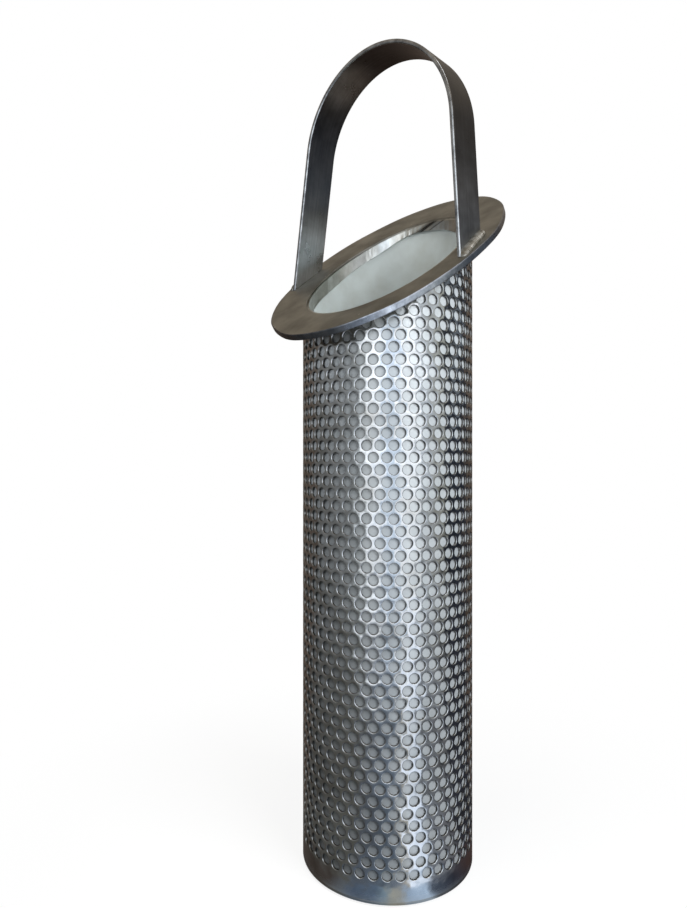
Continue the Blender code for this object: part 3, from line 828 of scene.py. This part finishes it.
def lifting_strap(tube, handle, material, edge):
    """Flat bar bent to an arch, its long edges rounded, its feet cut to the ring's slope."""
    outline = strap_outline(handle, ARCH_STEPS)
    matrix = strap_frame(handle, tube.mouth_height)
    turn_only = matrix.to_3x3()
    half = handle.strap_width / 2.0
    round_off = handle.edge_radius
    corners_flat = []
    for across, deep, first in ((half, 0.0, 0.0), (half, -handle.strap_thickness, 90.0),
                                (-half, -handle.strap_thickness, 180.0), (-half, 0.0, 270.0)):
        for step in range(4):
            turn = math.radians(90.0 - first - 30.0 * step)
            middle_y = across - math.copysign(round_off, across)
            middle_d = deep - round_off if deep == 0.0 else deep + round_off
            corners_flat.append((middle_y + round_off * math.cos(turn),
                                 middle_d + round_off * math.sin(turn)))
    sections = []
    travelled = [0.0]
    for number, point in enumerate(outline):
        before = outline[max(0, number - 1)]
        after = outline[min(len(outline) - 1, number + 1)]
        run = (after - before).normalized()
        out = Vector((run.y, -run.x))
        if number:
            travelled.append(travelled[-1] + (point - before).length)
        section = []
        for across, deep in corners_flat:
            flat = point + out * deep
            section.append(matrix @ Vector((flat.x, across, flat.y)))
        sections.append(section)
    whole = [number for number, section in enumerate(sections)
             if all(over_ring(tube, corner) > handle.foot_gap for corner in section)]
    sections = sections[whole[0]:whole[-1] + 1]
    travelled = travelled[whole[0]:whole[-1] + 1]
    for end, low, high in ((0, outline[0], outline[1]), (-1, outline[-1], outline[-2])):
        run = low - high
        along = turn_only @ Vector((run.x, 0.0, run.y))
        along.normalize()
        sections[end] = [corner + along * plane_share(tube, corner, along, handle.foot_gap)
                         for corner in sections[end]]
    corners, faces = loft(sections)
    piece = add_piece("lifting_strap", corners, faces, material, "lifting_handle", 50.0)
    size = len(corners_flat)
    wide_faces = {size // 2 - 1, size - 1}
    second_finish(piece, edge, size, set(range(size)) - wide_faces)
    girth = [0.0]
    for i in range(1, size):
        step = Vector(corners_flat[i]) - Vector(corners_flat[i - 1])
        girth.append(girth[-1] + step.length)
    layer = piece.data.uv_layers.new(name="bar")
    for loop in piece.data.loops:
        section_number, place = divmod(loop.vertex_index, size)
        layer.data[loop.index].uv = (travelled[section_number], girth[place])
    return soften(piece)


def fillet_weld(name, node, side, tube, handle, material):
    """Hand-laid fillet along the outside of a foot: a leaning face with crescent ripples."""
    outline = strap_outline(handle, ARCH_STEPS)
    low, high = (outline[0], outline[1]) if side > 0.0 else (outline[-1], outline[-2])
    matrix = strap_frame(handle, tube.mouth_height)
    turn_only = matrix.to_3x3()
    climb_flat = (high - low).normalized()
    climb = turn_only @ Vector((climb_flat.x, 0.0, climb_flat.y))
    climb.normalize()
    normal = ring_normal(tube)
    ends = []
    for across in (-handle.strap_width / 2.0, handle.strap_width / 2.0):
        start = matrix @ Vector((low.x, across, low.y))
        ends.append(start + climb * plane_share(tube, start, climb))
    along = (ends[1] - ends[0]).normalized()
    away = along.cross(normal)
    if away.x * side < 0.0:
        away.negate()
    leg = handle.weld_leg
    steps = 140
    rows = 8
    lag = 0.32                  # of a ripple, by which its middle trails its ends: a crescent
    belly = 0.16
    ripple_height = 0.085
    roundness = 1.35
    spread = 1.15
    sections = []
    for i in range(steps + 1):
        share = i / steps
        edge = ends[0].lerp(ends[1], share)
        taper = math.sqrt(max(0.0, 1.0 - abs(2.0 * share - 1.0) ** 9)) * 0.75 + 0.25
        section = [edge - climb * 0.0004 - away * 0.0002]
        for row in range(rows + 1):
            fall = row / rows
            hump = math.sin(math.pi * fall)
            ripple = math.sin(2.0 * math.pi * (handle.weld_ripples * share + lag * hump))
            bulge = 1.0 + belly * hump + ripple_height * ripple * hump
            up = math.cos(0.5 * math.pi * fall) ** roundness
            out = math.sin(0.5 * math.pi * fall) ** roundness
            section.append(edge + (climb * up + away * out * spread) * leg * taper * bulge)
        section.append(edge - normal * 0.0001 + away * 0.0005)
        sections.append(section)
    corners, faces = loft(sections)
    return add_piece(name, corners, faces, material, node, 70.0)


def dome_light_colours():
    """What the polished steel mirrors from around and above: stops of azimuth and colour."""
    return [(0.0, "#4B423B"), (0.035, "#4B423B"), (0.06, "#5C5B59"), (0.15, "#656564"),
            (0.23, "#777979"), (0.255, "#A4A8A9"), (0.283, "#F4F6F8"), (0.33, "#EFF3F8"),
            (0.345, "#C6D2E0"), (0.385, "#C2CEDC"), (0.402, "#F4F6F8"), (0.455, "#F4F6F8"),
            (0.478, "#ABB0B6"), (0.555, "#93938C"),
            (0.575, "#24272E"), (0.68, "#24272E"), (0.71, "#4B423B"), (1.0, "#4B423B")]


def table_light_colours():
    """What it mirrors from the table close by, which is darker but for one bright streak."""
    return [(0.0, "#4A3F38"), (0.05, "#4A4844"), (0.25, "#4E4D48"), (0.28, "#4C5056"),
            (0.35, "#515A65"), (0.378, "#6F767F"), (0.395, "#A29C90"), (0.41, "#EAF1FC"),
            (0.447, "#D3DCE9"), (0.465, "#6A6D72"), (0.53, "#606063"), (0.57, "#2B2C32"), (0.68, "#24252A"),
            (0.71, "#4A3F38"), (1.0, "#4A3F38")]


def foot_light_colours():
    """What the plain strip at the foot mirrors from the table right beside it."""
    return [(0.0, "#3B332E"), (0.22, "#403A36"), (0.255, "#54585C"), (0.28, "#4A5564"),
            (0.325, "#566475"), (0.345, "#74848F"), (0.358, "#96948A"), (0.378, "#8F8F8A"),
            (0.385, "#8C9CAE"), (0.43, "#A6B8CC"), (0.445, "#464E5A"), (0.50, "#2E3038"),
            (0.56, "#3A2E2C"), (1.0, "#3B332E")]


def mirrored_room_material(name, stage, table):
    """Soft coloured light that only glossy surfaces see, by direction and by distance."""
    material, tree = bare_material(name)
    spot = tree.nodes.new("ShaderNodeTexCoord").outputs["Object"]
    turn = add_node(tree, "ShaderNodeTexGradient", RADIAL, (), {"Vector": spot})
    around = add_node(tree, "ShaderNodeValToRGB", (), (), {"Fac": turn.outputs["Fac"]},
                      dome_light_colours())
    if table:
        near = add_node(tree, "ShaderNodeValToRGB", (), (), {"Fac": turn.outputs["Fac"]},
                        table_light_colours())
        away = add_node(tree, "ShaderNodeVectorMath", {"operation": "LENGTH"}, (), {0: spot})
        share = add_node(tree, "ShaderNodeMapRange", SMOOTH,
                         {"From Min": 0.10, "From Max": 1.3}, {"Value": away.outputs["Value"]})
        beside = add_node(tree, "ShaderNodeValToRGB", (), (), {"Fac": turn.outputs["Fac"]},
                          foot_light_colours())
        edge = add_node(tree, "ShaderNodeMapRange", SMOOTH,
                        {"From Min": 0.068, "From Max": 0.085}, {"Value": away.outputs["Value"]})
        close = add_node(tree, "ShaderNodeMix", COLOUR_MIX, (), {0: edge, 6: beside, 7: near})
        mixed = add_node(tree, "ShaderNodeMix", COLOUR_MIX, (),
                         {0: share, 6: close.outputs[2], 7: around})
    else:
        split = add_node(tree, "ShaderNodeSeparateXYZ", (), (), {"Vector": spot})
        share = add_node(tree, "ShaderNodeMapRange", SMOOTH,
                         {"From Min": 0.9, "From Max": 1.5}, {"Value": split.outputs["Z"]})
        mixed = add_node(tree, "ShaderNodeMix", COLOUR_MIX, {7: opaque(CEILING_HEX)},
                         {0: share, 6: around})
    glow = add_node(tree, "ShaderNodeEmission", (), {"Strength": stage.mirrored_strength},
                    {"Color": mixed.outputs[2]})
    if not table:
        lift = add_node(tree, "ShaderNodeMapRange", SMOOTH,
                        {"From Min": 0.25, "From Max": 0.7, "To Min": stage.mirrored_strength,
                         "To Max": 1.35 * stage.mirrored_strength}, {"Value": split.outputs["Z"]})
        connect(tree, glow, {"Strength": lift})
    add_node(tree, "ShaderNodeOutputMaterial", (), (), {"Surface": glow})
    return material


def glossy_only(thing):
    thing.visible_camera = False
    thing.visible_diffuse = False
    thing.visible_transmission = False
    thing.visible_volume_scatter = False
    thing.visible_shadow = False


def mirrored_room(stage):
    """A dome and a table top that nothing but the steel's reflections can see."""
    bpy.ops.mesh.primitive_uv_sphere_add(segments=64, ring_count=32, radius=ROOM_RADIUS)
    dome = bpy.context.active_object
    dome.name = "mirrored_dome"
    dome.data.materials.append(mirrored_room_material("mirrored_walls", stage, False))
    bpy.ops.mesh.primitive_circle_add(vertices=64, radius=ROOM_RADIUS, fill_type="NGON",
                                      location=(0.0, 0.0, TABLE_LEVEL))
    table = bpy.context.active_object
    table.name = "mirrored_table"
    table.data.materials.append(mirrored_room_material("mirrored_table_top", stage, True))
    for thing in (dome, table):
        glossy_only(thing)


def mirrored_card(name, azimuth_degrees, elevation_degrees, width, tall, colour, strength):
    """A glowing card that faces the mouth and that only the steel's reflections can see."""
    material, tree = bare_material(name)
    glow = add_node(tree, "ShaderNodeEmission", (), {"Color": opaque(colour), "Strength": strength})
    add_node(tree, "ShaderNodeOutputMaterial", (), (), {"Surface": glow})
    elevation = math.radians(elevation_degrees)
    way = round_axis(math.radians(azimuth_degrees), math.cos(elevation), math.sin(elevation))
    bpy.ops.mesh.primitive_plane_add(size=1.0, location=MOUTH_MIDDLE + CARD_DISTANCE * way,
                                     rotation=way.to_track_quat("Z", "Y").to_euler())
    card = bpy.context.active_object
    card.scale = (width, tall, 1.0)
    card.name = name
    card.data.materials.append(material)
    glossy_only(card)


def white_floor(stage):
    """Pale floor that keeps a soft shadow near the object and turns to plain white further out."""
    material, tree = bare_material("white_paper_floor")
    spot = tree.nodes.new("ShaderNodeTexCoord").outputs["Object"]
    away = add_node(tree, "ShaderNodeVectorMath", {"operation": "LENGTH"}, (), {0: spot})
    fade = add_node(tree, "ShaderNodeMapRange", SMOOTH,
                    {"From Min": 0.06, "From Max": 0.35, "To Min": 0.85, "To Max": 1.0},
                    {"Value": away.outputs["Value"]})
    seen = tree.nodes.new("ShaderNodeLightPath").outputs["Is Camera Ray"]
    share = add_node(tree, "ShaderNodeMath", TIMES, (), {0: fade, 1: seen})
    shown = add_node(tree, "ShaderNodeMix", COLOUR_MIX,
                     {6: opaque(FLOOR_BOUNCE_HEX), 7: (*stage.floor_colour, 1.0)}, {0: seen})
    paper = add_node(tree, "ShaderNodeBsdfDiffuse", (), (), {"Color": shown.outputs[2]})
    glow = add_node(tree, "ShaderNodeEmission", (), {"Strength": 1.0})
    mixed = add_node(tree, "ShaderNodeMixShader", (), (), {0: share, 1: paper, 2: glow})
    add_node(tree, "ShaderNodeOutputMaterial", (), (), {"Surface": mixed})
    bpy.ops.mesh.primitive_plane_add(size=24.0, location=(0.0, 0.0, FLOOR_LEVEL))
    floor = bpy.context.active_object
    floor.name = "floor"
    floor.data.materials.append(material)


def white_world(stage):
    """White where it is looked at, straight, in a mirror or through glass, and otherwise an even
    light."""
    world = bpy.data.worlds.new("white_studio")
    bpy.context.scene.world = world
    world.use_nodes = True
    tree = world.node_tree
    tree.nodes.clear()
    path = tree.nodes.new("ShaderNodeLightPath")
    seen = add_node(tree, "ShaderNodeMath", {"operation": "MAXIMUM"}, (),
                    {0: path.outputs["Is Camera Ray"], 1: path.outputs["Is Glossy Ray"]})
    clear = add_node(tree, "ShaderNodeMath", {"operation": "MAXIMUM"}, (),
                     {0: seen, 1: path.outputs["Is Transmission Ray"]})
    even = add_node(tree, "ShaderNodeBackground", (),
                    {"Color": opaque("#F2F5FA"), "Strength": stage.even_light})
    white = add_node(tree, "ShaderNodeBackground", (), {"Color": opaque("#FFFFFF"), "Strength": 1.0})
    mixed = add_node(tree, "ShaderNodeMixShader", (), (), {0: clear, 1: even, 2: white})
    add_node(tree, "ShaderNodeOutputWorld", (), (), {"Surface": mixed})


def soft_lamp(name, azimuth_degrees, height, distance, size, power, colour):
    """A square soft box that looks at the middle of the object, which the steel doesn't mirror."""
    data = bpy.data.lights.new(name, "AREA")
    data.shape = "SQUARE"
    data.size = size
    data.energy = power
    data.color = linear(colour)
    lamp = bpy.data.objects.new(name, data)
    place = round_axis(math.radians(azimuth_degrees), distance, height)
    aim = (MIDDLE - place).to_track_quat("-Z", "Y").to_matrix().to_4x4()
    lamp.matrix_world = Matrix.Translation(place) @ aim
    lamp.visible_camera = False
    lamp.visible_glossy = False
    bpy.context.scene.collection.objects.link(lamp)
    return lamp


def photo_camera():
    """The photograph's own view: level, at half the object's height and close to it."""
    data = bpy.data.cameras.new("camera")
    data.sensor_fit = "VERTICAL"
    data.sensor_height = 36.0
    data.lens = CAMERA_LENS
    camera = bpy.data.objects.new("camera", data)
    turn = Vector(CAMERA_LOOK).to_track_quat("-Z", "Y").to_matrix().to_4x4()
    camera.matrix_world = Matrix.Translation(CAMERA_PLACE) @ turn
    bpy.context.scene.collection.objects.link(camera)
    bpy.context.scene.camera = camera


def metres(name, description, default, least=-1.0):
    """A length that a user can change, kept in metres and shown in the scene's unit."""
    return FloatProperty(name=name, description=description, default=default, min=least,
                         subtype="DISTANCE", unit="LENGTH")


def degrees(name, description, default):
    """An angle that a user can change, given here in degrees."""
    return FloatProperty(name=name, description=description, default=math.radians(default), subtype="ANGLE")


class StrainerTube(bpy.types.PropertyGroup):
    """Sizes and colour of the perforated tube."""

    mouth_height: metres("Mouth height", "Where the ring's upper face crosses the tube's axis",
                         0.3851, 0.05)
    slant: degrees("Slant", "Slope of the mouth", 38.3)
    ring_thickness: metres("Ring thickness", "Thickness of the slanted ring", 0.004, 0.001)
    sheet_thickness: metres("Sheet thickness", "Thickness of the perforated sheet", 0.0013, 0.0005)
    hole_diameter: metres("Hole diameter", "Diameter of the punched holes", 0.0061, 0.001)
    holes_around: IntProperty(
        name="Holes around", description="Holes in one row round the tube", default=43, min=8)
    hole_sides: IntProperty(
        name="Hole sides", description="Straight sides that draw each round hole", default=14, min=6)
    row_spacing: metres("Row spacing", "Height from one row of holes to the next", 0.00707, 0.001)
    first_row: metres("First row", "Height of the lowest row's centres", 0.0167, 0.0)
    rim_roll: metres("Rim roll", "Width of the lip that the punch rolled over round each hole",
                     0.0004, 0.0)
    web_crown: degrees("Web crown", "Slope of the metal towards each hole, left by the punch", 5.0)
    seam_azimuth: degrees("Seam azimuth", "Where the rolled sheet's joint stands, round the tube",
                          SEAM_DEGREES)
    sheet_colour: FloatVectorProperty(
        name="Sheet colour", description="Colour of the polished sheet",
        default=linear("#C8CCD0"), min=0.0, max=1.0, subtype="COLOR")


class StrainerMouth(bpy.types.PropertyGroup):
    """Sizes of the slanted ring and the strip inside it."""

    overhang: metres("Ring overhang", "How far the ring stands out past the tube", 0.0215, 0.005)
    offset_x: metres("Ring offset X", "How far off centre the ring was welded, along X", -0.0042)
    offset_y: metres("Ring offset Y", "How far off centre the ring was welded, along Y", 0.0051)
    edge_radius: metres("Edge radius", "Radius that the file left on the ring's edges", 0.0006, 0.0001)
    bore_step: metres("Bore step", "How far the ring's bore lies inside the tube's outer face",
                      0.0021, 0.0005)
    bore_lip: metres("Bore lip", "Width of the weld dressed into the bore on its far side", 0.0014, 0.0)
    band_depth: metres("Band depth", "Height of the strip inside the mouth", 0.0105, 0.002)
    band_rise: metres("Band rise", "How far the strip's lower edge rises beside its joint", 0.0055, 0.0)
    band_drop: metres("Band drop", "How far the strip's lower edge sinks at the low side of the mouth",
                      0.0025, 0.0)


class StrainerHandle(bpy.types.PropertyGroup):
    """Sizes of the strap handle and its welds."""

    strap_width: metres("Strap width", "Width of the flat bar", 0.026, 0.005)
    strap_thickness: metres("Strap thickness", "Thickness of the flat bar", 0.0025, 0.001)
    edge_radius: metres("Edge radius", "Radius of the bar's long edges", 0.0008, 0.0001)
    foot_gap: metres("Foot gap", "Gap that shows under the feet where the weld doesn't reach",
                     0.0002, 0.0)
    turn: degrees("Turn", "Turn of the strap's plane from the X axis", -1.4)
    lean: degrees("Lean", "Lean of the strap towards the low side of the mouth", 2.5)
    shift_y: metres("Shift", "Shift of the strap down the slope", -0.0015)
    arch_centre_x: metres("Arch centre X", "Sideways place of the arch's centre", 0.0017)
    arch_centre_z: metres("Arch centre height", "Height of the arch's centre over the ring's centre",
                          0.0704)
    arch_half_span: metres("Arch half span", "Half the arch's width, outside", 0.0588, 0.01)
    arch_rise: metres("Arch rise", "Height of the arch over its centre, outside", 0.0625, 0.01)
    left_foot_x: metres("Left foot X", "Outer face of the left leg at the foot level", -0.0751)
    right_foot_x: metres("Right foot X", "Outer face of the right leg at the foot level", 0.0638)
    foot_level: metres("Foot level", "Height at which the feet were measured, from the ring's centre",
                       -0.0166)
    weld_leg: metres("Weld leg", "Height of the fillet welds on the legs", 0.0037, 0.001)
    weld_ripples: IntProperty(
        name="Weld ripples", description="Ripples along each fillet weld", default=10, min=2)


class StrainerStage(bpy.types.PropertyGroup):
    """Light and background."""

    even_light: FloatProperty(
        name="Even light", description="Strength of the plain light from all round",
        default=0.11, min=0.0)
    lamp_power: FloatProperty(
        name="Lamp power", description="Power of the key soft box, which sets the others",
        default=6.5, min=0.0, unit="POWER")
    mirrored_strength: FloatProperty(
        name="Mirrored light", description="Strength of the light that the steel mirrors, low down",
        default=1.6, min=0.0)
    floor_colour: FloatVectorProperty(
        name="Floor colour", description="Colour of the floor",
        default=linear("#F4F4F2"), min=0.0, max=1.0, subtype="COLOR")


class STRAINER_OT_tube(bpy.types.Operator):
    """Build the perforated sheet, its seam, the foot plate and the wire cloth"""

    bl_idname = "strainer.tube"
    bl_label = "Perforated tube"

    def execute(self, context):
        tube = context.scene.strainer_tube
        perforated_sheet(tube, polished_sheet_metal(tube), punched_wall_metal())
        seam_bead(tube, weld_metal())
        foot_plate(pickled_plate_metal("ground_stainless_plate", "#B9B9B6", "#9A9894"))
        wire_cloth(tube, woven_cloth_metal(tube))
        return {"FINISHED"}


class STRAINER_OT_mouth(bpy.types.Operator):
    """Build the slanted ring and the strip inside the mouth"""

    bl_idname = "strainer.mouth"
    bl_label = "Slanted mouth"

    def execute(self, context):
        tube = context.scene.strainer_tube
        mouth = context.scene.strainer_mouth
        plate = pickled_plate_metal("pickled_stainless_plate", "#AFADA4", "#7F7D75")
        flange_ring(tube, mouth, plate, ground_edge_metal())
        mouth_band(tube, mouth, hammered_strip_metal(tube))
        return {"FINISHED"}


class STRAINER_OT_handle(bpy.types.Operator):
    """Build the strap handle and its two fillet welds"""

    bl_idname = "strainer.handle"
    bl_label = "Strap handle"

    def execute(self, context):
        tube = context.scene.strainer_tube
        handle = context.scene.strainer_handle
        lifting_strap(tube, handle, strap_metal(), rubbed_edge_metal())
        weld = bpy.data.materials.get("brushed_stainless_weld") or weld_metal()
        fillet_weld("left_fillet", "handle_weld_left", -1.0, tube, handle, weld)
        fillet_weld("right_fillet", "handle_weld_right", 1.0, tube, handle, weld)
        return {"FINISHED"}


class STRAINER_OT_stage(bpy.types.Operator):
    """Set the floor, the light and the camera"""

    bl_idname = "strainer.stage"
    bl_label = "Stage"

    def execute(self, context):
        stage = context.scene.strainer_stage
        white_world(stage)
        white_floor(stage)
        mirrored_room(stage)
        mirrored_card("low_side_card", 46.0, 5.0, 0.6, 0.42, "#C8D2DC", 0.35)
        mirrored_card("high_card", -5.0, 62.0, 0.5, 0.5, "#FFFFFF", 3.0)
        soft_lamp("key_light", -12.0, 0.48, 0.52, 0.4, stage.lamp_power, "#F6F9FD")
        soft_lamp("top_light", -110.0, 1.4, 0.3, 0.6, 1.4 * stage.lamp_power, "#FFFDF8")
        soft_lamp("left_light", -125.0, 0.34, 0.2, 0.1, 0.032 * stage.lamp_power, "#F4F8FF")
        soft_lamp("mouth_light", -135.0, 0.50, 0.12, 0.08, 0.02 * stage.lamp_power, "#FFFDF8")
        photo_camera()
        context.scene.view_settings.view_transform = "Standard"
        return {"FINISHED"}


class STRAINER_PT_panel(bpy.types.Panel):
    """Sizes and steps of the strainer"""

    bl_label = "Bucket strainer"
    bl_idname = "STRAINER_PT_panel"
    bl_space_type = "VIEW_3D"
    bl_region_type = "UI"
    bl_category = "Strainer"

    def draw(self, context):
        scene = context.scene
        rows = ((scene.strainer_tube, "strainer.tube"), (scene.strainer_mouth, "strainer.mouth"),
                (scene.strainer_handle, "strainer.handle"), (scene.strainer_stage, "strainer.stage"))
        for group, operator in rows:
            box = self.layout.box()
            for name in group.bl_rna.properties.keys():
                if name not in ("rna_type", "name"):
                    box.prop(group, name)
            box.operator(operator)


GROUPS = {
    "strainer_tube": StrainerTube,
    "strainer_mouth": StrainerMouth,
    "strainer_handle": StrainerHandle,
    "strainer_stage": StrainerStage,
}
BUTTONS = (STRAINER_OT_tube, STRAINER_OT_mouth, STRAINER_OT_handle, STRAINER_OT_stage, STRAINER_PT_panel)


def register():
    for name, group in GROUPS.items():
        bpy.utils.register_class(group)
        setattr(bpy.types.Scene, name, PointerProperty(type=group))
    for button in BUTTONS:
        bpy.utils.register_class(button)


def unregister():
    for button in reversed(BUTTONS):
        bpy.utils.unregister_class(button)
    for name, group in GROUPS.items():
        delattr(bpy.types.Scene, name)
        bpy.utils.unregister_class(group)


def main():
    register()
    bpy.ops.strainer.tube()
    bpy.ops.strainer.mouth()
    bpy.ops.strainer.handle()
    bpy.ops.strainer.stage()


if __name__ == "__main__":
    main()
